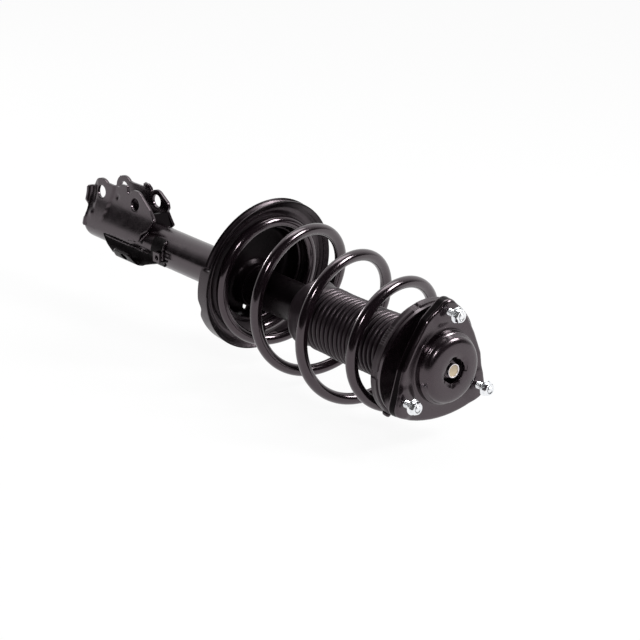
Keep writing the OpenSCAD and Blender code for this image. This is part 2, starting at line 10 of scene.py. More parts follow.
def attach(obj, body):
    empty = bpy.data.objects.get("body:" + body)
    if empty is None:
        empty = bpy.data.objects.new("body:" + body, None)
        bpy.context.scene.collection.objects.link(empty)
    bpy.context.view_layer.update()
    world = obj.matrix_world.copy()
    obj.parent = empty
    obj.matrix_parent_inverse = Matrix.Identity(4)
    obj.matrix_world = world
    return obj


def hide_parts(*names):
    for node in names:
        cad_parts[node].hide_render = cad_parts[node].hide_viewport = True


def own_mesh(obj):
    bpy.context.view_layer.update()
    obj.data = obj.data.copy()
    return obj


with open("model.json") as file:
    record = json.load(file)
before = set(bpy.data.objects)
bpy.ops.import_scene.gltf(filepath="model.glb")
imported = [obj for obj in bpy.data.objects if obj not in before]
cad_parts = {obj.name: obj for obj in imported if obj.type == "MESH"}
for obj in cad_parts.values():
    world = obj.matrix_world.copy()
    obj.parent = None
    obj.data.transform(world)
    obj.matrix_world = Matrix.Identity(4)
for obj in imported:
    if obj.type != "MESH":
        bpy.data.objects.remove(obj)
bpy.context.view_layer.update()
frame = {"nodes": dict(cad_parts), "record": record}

# A MacPherson strut: visible pieces over the frame's solids, with paint, rubber and steel on both.
# Shapes are worked out in millimetres in the strut's own frame: u along the strut
# from the upper knuckle bolt, p towards the near plate, q away from the tube
# through the bracket's ears, with the strut's axis at p = q = 0.

MM = 0.001
UP = 43.5                  # height of the knuckle bolts off the strut's axis
TUBE_R = 23.0              # outside radius of the strut tube
LEAN = math.radians(6.3)   # angle between the spring's axis and the strut's
CROSS = 377.0              # height at which the two axes cross


# ---------- places ----------

def row(u, p, q):
    """A point of the strut's own frame, in the row frame in metres."""
    return Vector((u * MM, -p * MM, (q - UP) * MM))


def leant(w, p, x):
    """A point at height w, side p and out x in the spring's leaning frame, in the strut's frame."""
    h = w - CROSS
    u = CROSS + h * math.cos(LEAN) + x * math.sin(LEAN)
    return u, p, x * math.cos(LEAN) - h * math.sin(LEAN)


def seated(w, p, x):
    """A leaning point, in the row frame."""
    return row(*leant(w, p, x))


def smooth(t):
    """Eased step from 0 to 1 as t goes from 0 to 1."""
    t = min(max(t, 0.0), 1.0)
    return t * t * (3 - 2 * t)


# ---------- materials ----------

def nodes_of(name):
    """A new material, its node tree and its shader."""
    mat = bpy.data.materials.new(name)
    mat.use_nodes = True
    tree = mat.node_tree
    shader = tree.nodes["Principled BSDF"]
    return mat, tree, shader


def noise(tree, scale, detail, rough, stretch=None):
    """Noise over the object's own coordinates, in metres."""
    where = tree.nodes.new("ShaderNodeTexCoord")
    vector = where.outputs["Object"]
    if stretch:
        mapping = tree.nodes.new("ShaderNodeMapping")
        mapping.inputs["Scale"].default_value = stretch
        tree.links.new(vector, mapping.inputs["Vector"])
        vector = mapping.outputs["Vector"]
    tex = tree.nodes.new("ShaderNodeTexNoise")
    tex.inputs["Scale"].default_value = scale
    tex.inputs["Detail"].default_value = detail
    tex.inputs["Roughness"].default_value = rough
    tree.links.new(vector, tex.inputs["Vector"])
    return tex.outputs["Fac"]


def ramp(tree, source, stops):
    """Colours, or greys given as numbers, spread over a source by (place, colour) stops."""
    node = tree.nodes.new("ShaderNodeValToRGB")
    elements = node.color_ramp.elements
    while len(elements) < len(stops):
        elements.new(0.5)
    for element, (at, colour) in zip(elements, stops):
        element.position = at
        if isinstance(colour, (int, float)):
            colour = (colour, colour, colour)
        element.color = (*colour, 1)
    tree.links.new(source, node.inputs["Fac"])
    return node.outputs["Color"]


def bump(tree, shader, source, strength, distance):
    node = tree.nodes.new("ShaderNodeBump")
    node.inputs["Strength"].default_value = strength
    node.inputs["Distance"].default_value = distance
    tree.links.new(source, node.inputs["Height"])
    tree.links.new(node.outputs["Normal"], shader.inputs["Normal"])


def set_shader(shader, **values):
    for key, value in values.items():
        shader.inputs[key.replace("_", " ")].default_value = value


PURPLE = (1.0, 0.83, 0.91, 1)    # faint tint of the black coat's and the rubber's gloss


def paint(name, tone, rough, ripple, shine=0.9):
    """Glossy dipped coat: an even dark colour with faint ripple, dust and worn gloss."""
    mat, tree, shader = nodes_of(name)
    cloud = noise(tree, 28, 5, 0.6)
    lift = ramp(tree, cloud, [(0.35, [c * 0.7 for c in tone]), (0.7, [c * 1.3 for c in tone])])
    tree.links.new(lift, shader.inputs["Base Color"])
    gloss = ramp(tree, noise(tree, 90, 6, 0.65), [(0.3, rough * 0.8), (0.75, rough * 1.35)])
    tree.links.new(gloss, shader.inputs["Roughness"])
    bump(tree, shader, noise(tree, 140, 3, 0.5), 0.12, ripple)
    set_shader(shader, Specular_IOR_Level=shine, Specular_Tint=PURPLE)
    return mat


def rubber(name, tone, rough, grain=900, depth=0.00012):
    """Rubber or matte plastic with a fine grain, dust and worn patches."""
    mat, tree, shader = nodes_of(name)
    dust = ramp(tree, noise(tree, 45, 6, 0.7), [(0.3, [c * 0.7 for c in tone]),
                                               (0.75, [c * 1.5 for c in tone])])
    tree.links.new(dust, shader.inputs["Base Color"])
    worn = ramp(tree, noise(tree, 120, 4, 0.6), [(0.3, rough * 0.85), (0.8, min(1, rough * 1.15))])
    tree.links.new(worn, shader.inputs["Roughness"])
    bump(tree, shader, noise(tree, grain, 2, 0.5), 0.35, depth)
    set_shader(shader, Specular_Tint=PURPLE)
    return mat


def metal(name, tone, rough, stretch=None, scale=300, tint=None):
    """Bare or plated metal, with its roughness drawn out along the strut by stretch."""
    mat, tree, shader = nodes_of(name)
    low = tint or [c * 0.8 for c in tone]
    colour = ramp(tree, noise(tree, scale * 0.2, 5, 0.6), [(0.3, low), (0.7, tone)])
    tree.links.new(colour, shader.inputs["Base Color"])
    spread = ramp(tree, noise(tree, scale, 4, 0.6, stretch),
                  [(0.25, rough * 0.6), (0.8, rough * 1.6)])
    tree.links.new(spread, shader.inputs["Roughness"])
    bump(tree, shader, noise(tree, scale * 2, 3, 0.5, stretch), 0.2, 0.00008)
    set_shader(shader, Metallic=1.0)
    return mat


FULL_TONE, SHADE_TONE = (0.0052, 0.0030, 0.0042), (0.0026, 0.0016, 0.0021)
COAT = paint("black_ecoat", FULL_TONE, 0.2, 0.00015)
WIRE_COAT = paint("spring_coat", FULL_TONE, 0.14, 0.0001)
SATIN = paint("satin_ecoat", FULL_TONE, 0.3, 0.0002, 0.65)
# painted shade: a darker tone with little gloss, for parts that lie in shadow
SHADE_COAT = paint("shaded_ecoat", SHADE_TONE, 0.3, 0.0003, 0.07)
TUBE_SHADE_COAT = paint("tube_shade_ecoat", SHADE_TONE, 0.3, 0.0002, 0.25)
RUBBER = rubber("black_rubber", (0.010, 0.0075, 0.0090), 0.6)
BOOT = rubber("boot_rubber", (0.0105, 0.0072, 0.0092), 0.35, depth=0.00005)
GREY = paint("grey_rubber", (0.012, 0.009, 0.0105), 0.38, 0.0002, 0.6)
STEEL = metal("plain_steel", (0.42, 0.42, 0.43), 0.3)
SINTER = metal("sintered_steel", (0.26, 0.25, 0.24), 0.5, scale=800)
BRONZE = metal("bush_bronze", (0.45, 0.31, 0.15), 0.35)
CHROME = metal("rod_chrome", (0.7, 0.7, 0.72), 0.12, stretch=(1, 8, 8))
PLASTIC = rubber("dark_plastic", (0.04, 0.04, 0.045), 0.45)
FOAM = rubber("bump_foam", (0.62, 0.52, 0.2), 0.85, grain=1500)
ZINC = metal("bright_zinc", (0.95, 0.95, 0.96), 0.26, tint=(0.82, 0.84, 0.87))
GOLD = rubber("yellow_zinc", (0.42, 0.345, 0.23), 0.4)
END = metal("rod_end_steel", (0.95, 0.9, 0.9), 0.3, tint=(0.8, 0.74, 0.76))

BY_SLOT = {"black_ecoat": COAT, "spring_coat": WIRE_COAT, "black_rubber": RUBBER,
           "boot_rubber": BOOT, "grey_rubber": GREY, "plain_steel": STEEL,
           "sintered_steel": SINTER, "bush_bronze": BRONZE, "rod_chrome": CHROME,
           "dark_plastic": PLASTIC, "bump_foam": FOAM, "bright_zinc": ZINC}

for part in frame["record"]["subparts"]:
    node = frame["nodes"][part["node"]]
    node.data.materials.clear()
    node.data.materials.append(BY_SLOT[part["material_slot"]])
# painted shade: the web between the plates gets the darker, low-gloss coat
frame["nodes"]["knuckle_web"].data.materials[0] = SHADE_COAT


# ---------- mesh helpers ----------

def piece(name, mesh, mat, body, replaces=(), angle=35):
    """Finishes a mesh as a piece of the object."""
    obj = bpy.data.objects.new(name, mesh)
    bpy.context.scene.collection.objects.link(obj)
    mesh.materials.append(mat)
    mesh.shade_smooth()
    if angle:
        mesh.set_sharp_from_angle(angle=math.radians(angle))
    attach(obj, body)
    if replaces:
        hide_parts(*replaces)
    return obj


def mesh_from(name, verts, faces):
    """A mesh with its faces turned to point outwards."""
    mesh = bpy.data.meshes.new(name)
    mesh.from_pydata([tuple(v) for v in verts], [], faces)
    bm = bmesh.new()
    bm.from_mesh(mesh)
    bmesh.ops.recalc_face_normals(bm, faces=bm.faces)
    bm.to_mesh(mesh)
    bm.free()
    return mesh


def grid_faces(rows, cols, closed_rows=False):
    """Faces between rows of points, each row a closed ring."""
    faces = []
    for i in range(rows if closed_rows else rows - 1):
        for k in range(cols):
            a, b = i * cols + k, i * cols + (k + 1) % cols
            c, d = (i + 1) % rows * cols + (k + 1) % cols, (i + 1) % rows * cols + k
            faces.append((a, b, c, d))
    return faces


def turned(name, profile, sides, place=None, closed=True, shape=None):
    """Mesh of revolution through (height, radius) points. shape(point's number, angle) gives what
    is added to a point's height and radius there."""
    place = place or (lambda u, r, a: row(u, r * math.sin(a), r * math.cos(a)))
    verts = []
    for i, (u, r) in enumerate(profile):
        for k in range(sides):
            a = 2 * math.pi * k / sides
            du, dr = shape(i, a) if shape else (0, 0)
            verts.append(place(u + du, r + dr, a))
    faces = grid_faces(len(profile), sides, closed_rows=closed)
    return mesh_from(name, verts, faces)


def swept(name, path, radius, sides, taper=None):
    """Round bar along a path of row-frame points, with flat ends."""
    verts, faces = [], []
    n = len(path)
    up = None
    for i, at in enumerate(path):
        t = (path[min(i + 1, n - 1)] - path[max(i - 1, 0)]).normalized()
        if up is None:
            up = t.orthogonal().normalized()
        up = (up - t * up.dot(t)).normalized()
        side = t.cross(up)
        r = radius * (taper(i / (n - 1)) if taper else 1)
        for k in range(sides):
            a = 2 * math.pi * k / sides
            verts.append(at + r * (math.cos(a) * up + math.sin(a) * side))
    faces = grid_faces(n, sides)
    for end, order in ((0, 1), ((n - 1) * sides, -1)):
        faces.append(tuple(range(end, end + sides))[::order])
    return mesh_from(name, verts, faces)


def join(name, meshes):
    """One mesh out of several, which are removed."""
    bm = bmesh.new()
    for m in meshes:
        bm.from_mesh(m)
        bpy.data.meshes.remove(m)
    mesh = bpy.data.meshes.new(name)
    bm.to_mesh(mesh)
    bm.free()
    return mesh


def arc(c, r, start, stop, n):
    """Points of an arc about c, from one angle in degrees to the other in n steps."""
    turns = [math.radians(start + (stop - start) * i / n) for i in range(n + 1)]
    return [(c[0] + r * math.cos(a), c[1] + r * math.sin(a)) for a in turns]


def apply_modifiers(obj):
    graph = bpy.context.evaluated_depsgraph_get()
    mesh = bpy.data.meshes.new_from_object(obj.evaluated_get(graph))
    obj.modifiers.clear()
    old = obj.data
    obj.data = mesh
    mesh.name = obj.name
    bpy.data.meshes.remove(old)


# ---------- tube ----------

def tube_mesh(cut):
    """The tube's own solid, with its faces parted by a cut across the strut."""
    node = frame["nodes"]["strut_tube"]
    bm = bmesh.new()
    bm.from_mesh(node.data)
    bm.transform(node.matrix_world)
    bmesh.ops.bisect_plane(bm, geom=[*bm.verts, *bm.edges, *bm.faces], plane_co=(cut, 0, 0),
                           plane_no=(1, 0, 0))
    for face in bm.faces:
        face.material_index = int(face.calc_center_median().x > cut)
    mesh = bpy.data.meshes.new("tube_body")
    bm.to_mesh(mesh)
    bm.free()
    return mesh


# past the pan, which stands this far along it in metres, the tube has a darker coat: painted shade,
# as it lies in shade there
PAST_PAN = 0.2125
tube = piece("tube_body", tube_mesh(PAST_PAN), COAT, "lower_strut", ["strut_tube"])
tube.data.materials.append(TUBE_SHADE_COAT)


# ---------- coil spring ----------

LOW_END, TOP_END = 222.0, 473.0      # heights of the wire's middle in the flat end turns
MAIN_START, PITCH = 254.8, 77.4      # height and pitch of the main turns, counted from n = 0
START_DEG = 249.6                    # direction of their start round the leaning axis
WIRE_R = 6.6
LOW_R = 66                           # the lower end turn's radius
WIDER, NARROWER = 11.3, 16.3         # how far the wire runs out from it, and in again at the top
RUN_OUT, RUN_IN = (-0.65, 0.2), (2.42, 2.84)    # the turns over which it does
FIRST, TURNS, STEPS = -1.18, 4.33, 480          # the wire's tip, length in turns, and steps


def over(v, w):
    """v where it is well over 0, easing to 0 below it over a width w."""
    return v if v > 12 * w else w * math.log(1 + math.exp(v / w))


def blend(n, a, b):
    return smooth((n - a) / (b - a))


def wire_at(n):
    """The wire's middle, n turns past the start of the main turns."""
    main = LOW_END + over(MAIN_START + PITCH * n - LOW_END, 8)
    w = TOP_END - over(TOP_END - main, 5)
    r = LOW_R + WIDER * blend(n, *RUN_OUT) - NARROWER * blend(n, *RUN_IN)
    a = math.radians(START_DEG + 360 * n)
    # the top end turn lies about the strut's axis
    x = r * math.cos(a) + (TOP_END - CROSS) * math.tan(LEAN) * blend(n, *RUN_IN)
    return seated(w, r * math.sin(a), x)


wire = [wire_at(FIRST + TURNS * i / STEPS) for i in range(STEPS + 1)]
spring = piece("spring_wire", swept("spring_wire", wire, WIRE_R * MM, 32), WIRE_COAT,
               "rod_assembly", ["coil_spring"], 40)
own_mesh(spring)


# ---------- dust boot ----------

BOOT_LOW, BOOT_LENGTH = 306.0, 176.4


def boot_profile():
    """Outer face of the boot: a flared collar, then its ribs; then back along the inside."""
    low, top, ribs, out, depth, wall = BOOT_LOW, 482.4, 22, 36.8, 4.5, 1.6
    start = low + 24
    pitch = (top - start) / ribs
    face = [(low, out - 0.6), (low + 0.3, out + 0.6), (low + 1.2, out + 1.4),
            (low + 3, out + 1.6), (low + 4.5, out + 1.0), (low + 6, out + 0.3),
            (low + 10, out - 0.1), (low + 14, out - 0.9), (low + 17.5, out - 2.2),
            (low + 20, out - 3.6), (low + 21.5, out - depth)]
    # one rib, as shares of the pitch and of the depth
    rib = [(0.0, 0.0), (0.07, 0.02), (0.13, 0.25), (0.2, 0.6), (0.29, 0.87), (0.4, 0.98),
           (0.5, 1.0), (0.6, 0.98), (0.71, 0.87), (0.8, 0.6), (0.87, 0.25), (0.93, 0.02)]
    for i in range(ribs):
        for at, height in rib:
            face.append((start + pitch * (i + at), out - depth + depth * height))
    face += [(top - 0.4, out - depth), (top, out - depth - 0.4), (top, 27.0), (top - 2.5, 27.0)]
    return face + [(u, r - wall) for u, r in face[:-4]][::-1]


def boot_place(u, r, a):
    """The boot hangs a little below the rod, most at the middle of its length."""
    along = (u - BOOT_LOW) / BOOT_LENGTH
    sag = 2.5 + 1.3 * math.sin(math.pi * min(max(along, 0), 1))
    squeeze = 0.35 * math.sin(3 * a + u * 0.05) + 0.25 * math.sin(2 * a - u * 0.11)
    tilt = 0.5 * math.sin(u * 0.19) * math.cos(a + 0.6)
    fade = smooth((u - 330) / 20) * smooth((480 - u) / 10)
    r += squeeze * fade
    return row(u + tilt * fade, r * math.sin(a), r * math.cos(a) - sag)


boot = piece("boot_skin", turned("boot_skin", boot_profile(), 144, boot_place), BOOT,
             "rod_assembly", ["dust_boot"], 50)
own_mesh(boot)


# ---------- lower spring seat ----------

PAN = 213.4                 # height of the spring's bed in the leaning frame
RIM = PAN + 9               # top of the rim
DISH = PAN - 16             # floor of the dish
RIM_P, RIM_X = 5, 1.7       # how far the rim is set off the spring's axis


def seat_rings():
    """Rings of the pan from the neck out over the rim, then back under it: kind, height, radius."""
    neck = [(211.0, 23.2), (212.1, 23.4), (212.2, 23.7), (212.2, 24.9), (212.0, 25.2),
            (205.0, 25.6)]
    dish = [(DISH + 1.6, 26.8), (DISH + 0.5, 28.2), (DISH, 30.5), (DISH, 34), (DISH, 38),
            (DISH, 42), (DISH + 0.2, 46), (DISH + 0.9, 49.5), (DISH + 2.5, 51.6), (DISH + 6, 53.2),
            (DISH + 12, 54.0), (PAN + 0.2, 54.5), (PAN + 1.6, 55.1), (PAN + 2.3, 56.0),
            (PAN + 2.2, 56.9), (PAN + 1.2, 57.8), (PAN + 0.3, 58.9), (PAN, 60.5), (PAN, 66),
            (PAN, 72)]
    rim = [(PAN + 0.1, 74), (PAN + 0.6, 75.6), (PAN + 0.8, 77), (PAN + 0.4, 78.6), (PAN + 0.2, 80),
           (PAN + 0.8, 82), (PAN + 2.6, 83.6), (PAN + 5.5, 85.8), (PAN + 7.6, 87.7),
           (PAN + 8.7, 88.8), (RIM, 89.2), (RIM - 0.1, 89.6), (RIM - 0.5, 89.9),
           (RIM - 1.4, 90.05), (RIM - 2.6, 90.1)]
    skirt = [(3.6, 90.1), (5.0, 90.1), (7.0, 90.1), (9.0, 90.1), (10.6, 90.1), (12, 90.1),
             (12, 88.2), (9.5, 87.9)]
    under = [(RIM - 4, 87.5), (RIM - 2.8, 86.8), (PAN + 3, 85.9), (PAN - 1.6, 84), (PAN - 2.4, 80)]
    back = [(PAN - 2.4, 72), (PAN - 2.4, 60), (DISH + 4, 56), (DISH - 1.6, 50.5),
            (DISH - 2.4, 46), (DISH - 2.4, 38), (DISH - 2.4, 30), (DISH - 2.4, 23.4)]
    kinds = (("tube", neck), ("pan", dish), ("rim", rim), ("skirt", skirt), ("rim", under),
             ("pan", back))
    return [(kind, w, r) for kind, rings in kinds for w, r in rings]


def seat_place(kind, w, r, a):
    """A point of the pan at angle a from straight up; skirt heights are depths under the rim."""
    if kind == "tube":
        return row(w, r * math.sin(a), r * math.cos(a))
    deg = math.degrees(a) % 360
    if kind == "skirt" or w < RIM - 2.9 and r > 85:
        # behind the step the skirt is drawn in between the rim and its lip
        depth = w if kind == "skirt" else RIM - w
        recess = 1 - smooth((deg - 76) / 2.5) * smooth((262 - deg) / 40)
        r -= 4.4 * recess * smooth((depth - 2) / 4) * smooth((12 - depth) / 3)
    if kind == "skirt":
        deep = 4.6 * smooth((deg - 77) / 2.5) * smooth((112 - deg) / 10)
        deep += 6.0 * smooth((deg - 108) / 12) * smooth((172 - deg) / 30)
        w = RIM - depth - deep * smooth((depth - 3) / 8)
    # the rim is set off the spring's axis, and the dish's floor runs in to the tube's
    off = smooth((r - 72) / 8) if kind in ("rim", "skirt") else 0
    middle = math.tan(LEAN) * (w - CROSS) * max(0, 46 - r) / 22.8
    return seated(w, r * math.sin(a) - RIM_P * off, r * math.cos(a) + middle - RIM_X * off)


def seat_mesh():
    sides = 288
    rings = seat_rings()
    verts = [seat_place(*ring, 2 * math.pi * k / sides) for ring in rings for k in range(sides)]
    return mesh_from("seat_pan", verts, grid_faces(len(rings), sides, closed_rows=True))


seat = piece("seat_pan", seat_mesh(), SATIN, "lower_strut",
             ["lower_spring_seat"], 40)
# painted shade: the dish, which lies in the spring's shade, and the crest of the rim get the
# darker, low-gloss coat, which on the crest dims the lamp's highlight
seat.data.materials.append(SHADE_COAT)
DISH_R = 56.3               # the dish with the ridge round it
CREST = (88.9, 90.11)       # radii of the rim's crest
dish_middle, rim_middle = seated(DISH, 0, 0), seated(RIM, -RIM_P, -RIM_X)
for face in seat.data.polygons:
    deep = (face.center - dish_middle).length < DISH_R * MM
    from_middle = (face.center - rim_middle).length
    crest_shade = CREST[0] * MM < from_middle < CREST[1] * MM and face.normal.x > 0.15
    face.material_index = int(deep or crest_shade)


def round_hole(obj, at, direction, radius, depth):
    """Bores a round hole through a piece."""
    bm = bmesh.new()
    turn = direction.to_track_quat("Z", "Y").to_matrix().to_4x4()
    bmesh.ops.create_cone(bm, cap_ends=True, segments=32, radius1=radius, radius2=radius,
                          depth=depth, matrix=Matrix.Translation(at) @ turn)
    mesh = bpy.data.meshes.new("cutter")
    bm.to_mesh(mesh)
    bm.free()
    cutter = bpy.data.objects.new("cutter", mesh)
    bpy.context.scene.collection.objects.link(cutter)
    mod = obj.modifiers.new("hole", "BOOLEAN")
    mod.object = cutter
    mod.solver = "EXACT"
    apply_modifiers(obj)
    bpy.data.objects.remove(cutter)


# the dish drains through a hole below the tube
hole_at = seated(DISH, 3.1, -48.1)
lean_axis = (seated(10, 0, 0) - seated(0, 0, 0)).normalized()
round_hole(seat, hole_at, lean_axis, 3.6 * MM, 30 * MM)


# ---------- upper insulator ----------

INSULATOR = [(476.7, 54.2), (476.65, 67.2), (476.9, 68.2), (477.6, 68.9), (479.2, 69.0),
             (481, 68.2), (482.6, 68.2), (484.2, 68.9), (485.1, 68.7), (485.55, 68.0),
             (485.55, 48.5), (484.8, 48.4), (476.9, 48.4), (476.7, 49.2)]
EDGE = range(3, 10)                    # its points on the outer edge
NOTCHES = (20, 95, 150, 215, 290)      # their angles, in degrees
# nub below the ring's edge, as (height, share of its radius)
NUB_R, NUB_OUT, NUB_DEG = 3.1, 70.0, 150
NUB = [(472.4, 0.2), (472.9, 0.6), (474, 0.9), (475.5, 1.0), (479.5, 1.0), (481, 0.9),
       (482.1, 0.6), (482.6, 0.2)]


def insulator_place(w, r, a):
    """Leans with the spring, about the strut's axis."""
    shift = (TOP_END - CROSS) * math.tan(LEAN)
    return seated(w, r * math.sin(a), r * math.cos(a) + shift)


def insulator_shape(i, a):
    if i not in EDGE:
        return 0, 0
    deg = math.degrees(a) % 360
    notch = 0
    for at in NOTCHES:
        gap = abs((deg - at + 180) % 360 - 180)
        notch = max(notch, smooth((4.2 - gap) / 1.4))
    # fine ribs of the mould over a short length of the edge
    rib = 0.35 * math.sin(math.radians(deg) * 150) * smooth((deg - 46) / 3) * smooth((68 - deg) / 3)
    return 0, 0.25 * math.sin(3 * a) + rib - 1.5 * notch


ring = turned("insulator_ring", INSULATOR, 480, insulator_place, shape=insulator_shape)
nub_line = [insulator_place(w, NUB_OUT, math.radians(NUB_DEG)) for w, _ in NUB]
nub = swept("nub", nub_line, NUB_R * MM, 20, lambda t: NUB[round(t * (len(NUB) - 1))][1])
piece("insulator_ring", join("insulator_ring", [ring, nub]), GREY, "rod_assembly",
      ["upper_insulator"], 40)


# ---------- sheet metal helpers ----------

def rounded(corners, step=6):
    """Outline through (x, y, radius) corners, each rounded by its radius."""
    out = []
    n = len(corners)
    for i, corner in enumerate(corners):
        at = Vector(corner[:2])
        before = Vector(corners[i - 1][:2]) - at
        after = Vector(corners[(i + 1) % n][:2]) - at
        radius = corner[2] if len(corner) > 2 else 0
        if not radius:
            out.append(at)
            continue
        half = before.angle(after) / 2
        reach = min(radius / math.tan(half), 0.48 * min(before.length, after.length))
        start, stop = at + before.normalized() * reach, at + after.normalized() * reach
        for k in range(step + 1):
            t = k / step
            out.append(start * (1 - t) ** 2 + at * 2 * t * (1 - t) + stop * t ** 2)
    return out


def inside(at, loop):
    """Whether a point lies within a closed loop."""
    hit = False
    for i, b in enumerate(loop):
        a = loop[i - 1]
        if (a[1] > at[1]) != (b[1] > at[1]):
            if at[0] < (b[0] - a[0]) * (at[1] - a[1]) / (b[1] - a[1]) + a[0]:
                hit = not hit
    return hit


def stepped(loop, step):
    """A closed loop with points no further apart than the step."""
    out = []
    for i, b in enumerate(loop):
        a = loop[i - 1]
        parts = max(1, math.ceil((b - a).length / step))
        out += [a.lerp(b, (k + 1) / parts) for k in range(parts)]
    return out


ROW_STEP = 0.87     # rows of a triangle grid lie this share of its step apart


def sheet(name, outline, place, thick, holes, step=2.2, edge=0.7):
    """Mesh of pressed sheet: a flat outline with round holes, filled with points and then
    placed by place(a, b) on the middle of the sheet's thickness, in mm of the strut's frame."""
    loops = [stepped([Vector(v) for v in outline], step)]
    loops += [[Vector(v) for v in arc(c, r, 0, 350, 35)] for c, r in holes]
    rim = [v for loop in loops for v in loop]
    points = list(rim)
    edges, base = [], 0
    for loop in loops:
        edges += [(base + i, base + (i + 1) % len(loop)) for i in range(len(loop))]
        base += len(loop)
    low = [min(v[i] for v in rim) for i in (0, 1)]
    high = [max(v[i] for v in rim) for i in (0, 1)]
    rows = int((high[1] - low[1]) / (step * ROW_STEP))
    for j in range(1, rows + 1):
        for i in range(int((high[0] - low[0]) / step) + 1):
            at = Vector((low[0] + step * (i + 0.5 * (j % 2)), low[1] + step * ROW_STEP * j))
            if not inside(at, loops[0]):
                continue
            if any((at - Vector(c)).length < r + step * 0.5 for c, r in holes):
                continue
            if min((at - v).length for v in rim) > step * 0.55:
                points.append(at)
    found = delaunay_2d_cdt(points, edges, [], 0, 1e-6)
    faces = []
    for face in found[2]:
        mid = sum((found[0][i] for i in face), Vector((0, 0))) / len(face)
        if inside(mid, loops[0]) and all((mid - Vector(c)).length > r for c, r in holes):
            faces.append(tuple(face))
    mesh = mesh_from(name, [row(*place(*v)) for v in found[0]], faces)
    obj = bpy.data.objects.new(name, mesh)
    bpy.context.scene.collection.objects.link(obj)
    thicken = obj.modifiers.new("thick", "SOLIDIFY")
    thicken.thickness = thick * MM
    thicken.offset = 0
    soften = obj.modifiers.new("edge", "BEVEL")
    soften.width = edge * MM
    soften.segments = 2
    soften.limit_method = "ANGLE"
    soften.angle_limit = math.radians(55)
    apply_modifiers(obj)
    mesh = obj.data
    bpy.data.objects.remove(obj)
    return mesh


def bead(points, radius, seed):
    """Weld bead along points on the tube, in mm of the strut's frame, with thinner ends."""
    def taper(t):
        ripple = 0.86 + 0.14 * math.sin(t * len(points) * 1.9 + seed)
        return ripple * min(1, 6 * t + 0.4, 6 * (1 - t) + 0.4)

    return swept("bead", [row(*v) for v in points], radius * MM, 12, taper)


def folded(past, r):
    """How far on and how far aside a sheet runs, at a length past the start of a square fold."""
    turn = min(past / r, math.pi / 2)
    return r * math.sin(turn), r * (1 - math.cos(turn)) + max(0, past - r * math.pi / 2)


# ---------- knuckle bracket ----------

CHEEK = 16.0                # middle of the flat cheek's thickness off the strut's axis
PLATE_T = 3.5               # thickness of the plates
NEAR_FOLD = -84             # where the near plate's flange starts, and its fold's radius
NEAR_FOLD_R = 4
EAR_Q = 43.5                # height of the bolts, at u = 0 and at LOWER_EAR
LOWER_EAR = -64.5
HOLES = [((0, EAR_Q), 7.8), ((LOWER_EAR, EAR_Q), 7.8)]


def cheek(q):
    """Middle of a plate's thickness: flat at the bolts, swelling out to the tube below them."""
    even = 0.233 * (over(41 - q, 2.5) - over(3 - q, 2.5))
    return CHEEK + 0.45 * even + 4.85 * smooth((40 - q) / 37)


def near_place(a, q):
    u, p = a, cheek(q)
    # the lower end is turned outwards
    past = NEAR_FOLD - a
    if past > 0:
        on, aside = folded(past, NEAR_FOLD_R)
        u, p = NEAR_FOLD - on, p + aside
    # the lower ear stands a little prouder, behind a slanting crease
    left = ((a + 42) * -34 + (q - 50) * 11) / 35.7
    p += 1.5 * smooth(left / 1.6 + 0.5) * smooth((q - 4) / 26) * smooth((past + 12) / -6 + 1)
    # a dimple between the ears, and a low bump by the flange
    p -= 1.9 * math.exp(-((a + 35.2) ** 2 + (q - 44) ** 2) / 6)
    p += 1.3 * math.exp(-((a + 77) / 3) ** 2 - ((q - 14) / 4) ** 2)
    return u, p, q


def far_place(a, q):
    p = cheek(q)
    # flared lower corner and a tab folded inwards at the top
    p += 0.02 * max(0, a - 14) ** 2 * smooth((37 - q) / 6)
    p -= 3.0 * smooth((q - 55) / 5) * smooth((a + 26) / 3) * smooth((-10 - a) / 3)
    return a, -p, q


# outlines from the flange's foot over the ears to the upper corner, and back along the tube
near_line = rounded(
    [(-80, -4, 2), (-90.2, -3.5, 2), (-89.4, 6, 4), (-86.8, 13, 5), (-87, 21, 5), (-92.6, 28, 5),
     (-93.3, 45, 2), (-81.5, 47, 2)]
    + arc((LOWER_EAR, EAR_Q), 16.5, 158, 52, 14)
    + [(-44, 56.4, 4), (-33, 56.5, 2), (-29.5, 61.2, 2.5), (-17.2, 62.2, 2), (-16, 53, 2.5),
       (-11.4, 53, 2)]
    + arc((0, EAR_Q), 16.8, 126, 44, 12)
    + [(28, 43.6, 8), (38.6, 33.5, 3), (31, 19, 5), (21.5, 12, 4), (20.5, 4, 4), (-4, 0.5, 14)])
far_line = rounded(
    [(-84, 0.5, 3), (-84.5, 28, 8)] + arc((LOWER_EAR, EAR_Q), 15, 176, 46, 14)
    + [(-49.5, 53.8, 3), (-28, 54.5, 2), (-23, 60.6, 2), (-13.4, 61.4, 2), (-11.4, 52.4, 1)]
    + arc((0, EAR_Q), 13.6, 132, 52, 12)
    + [(21.5, 46.5, 5), (23.2, 40, 3), (20, 35, 3), (24.5, 17.5, 2), (19, 13, 3), (8, 9, 5),
       (4, 0.5, 4)])

near_sheet = sheet("near_plate", near_line, near_place, PLATE_T, HOLES)
piece("near_plate", near_sheet, COAT, "lower_strut", ["near_knuckle_plate"], 40)
far_sheet = sheet("far_plate", far_line, far_place, PLATE_T, HOLES)
piece("far_plate", far_sheet, COAT, "lower_strut", ["far_knuckle_plate"], 40)


# ---------- link bracket ----------

LINK_TURN = math.radians(128)       # direction of the web's edge round the tube
ROOT_TURN = math.radians(22)        # how much higher its root lies
LINK_T = 3.0                        # thickness of the sheet
LINK_FOLD = 34                      # where the link's flange starts, and its fold's radius
LINK_FOLD_R = 3.2
LINK_HOLE = ((6, 45), 5.25)


